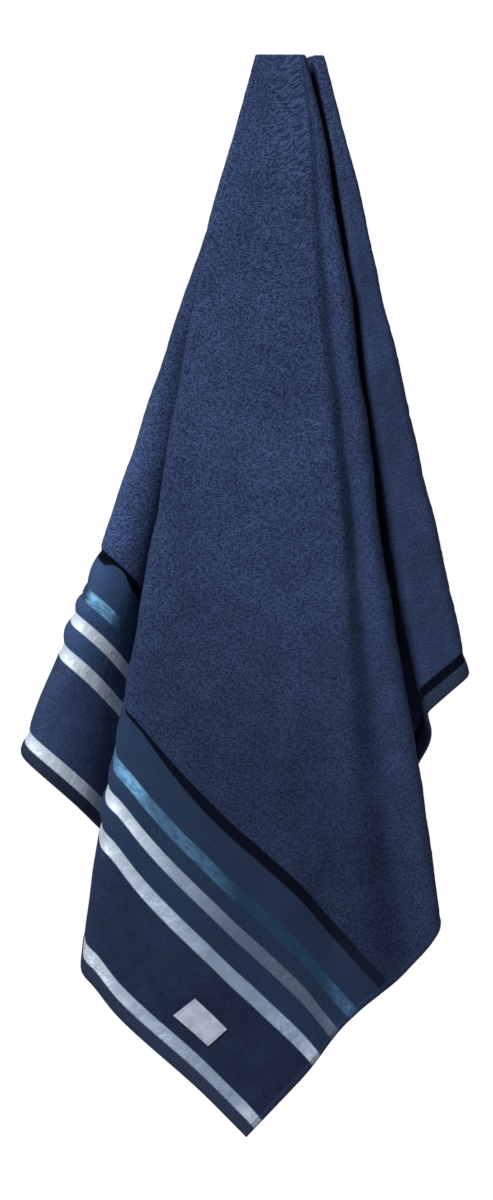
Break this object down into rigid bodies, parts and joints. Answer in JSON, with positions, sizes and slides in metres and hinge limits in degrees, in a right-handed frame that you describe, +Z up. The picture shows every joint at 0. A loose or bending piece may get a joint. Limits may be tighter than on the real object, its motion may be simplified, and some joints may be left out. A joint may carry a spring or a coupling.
{
  "type": "hand towel",
  "caption": "Dark blue terry hand towel hanging in loose folds from the middle of one long edge, with a striped woven border and a small bare sewn label.",
  "frame": {"origin": "middle of the towel's top edge, where it is held up", "axes": "+Z up, the front of the towel faces -Y, +X to the right seen from the front"},
  "size_m": [0.2375, 0.1629, 0.5652],
  "materials": {
    "towel_terry": "matt dark blue cotton terry with flat-woven bands and satin stripes at the ends",
    "label_tape": "light grey woven tape, bare"
  },
  "bodies": {
    "root": {"towel": "towel_terry", "label": "label_tape"}
  },
  "joints": []
}
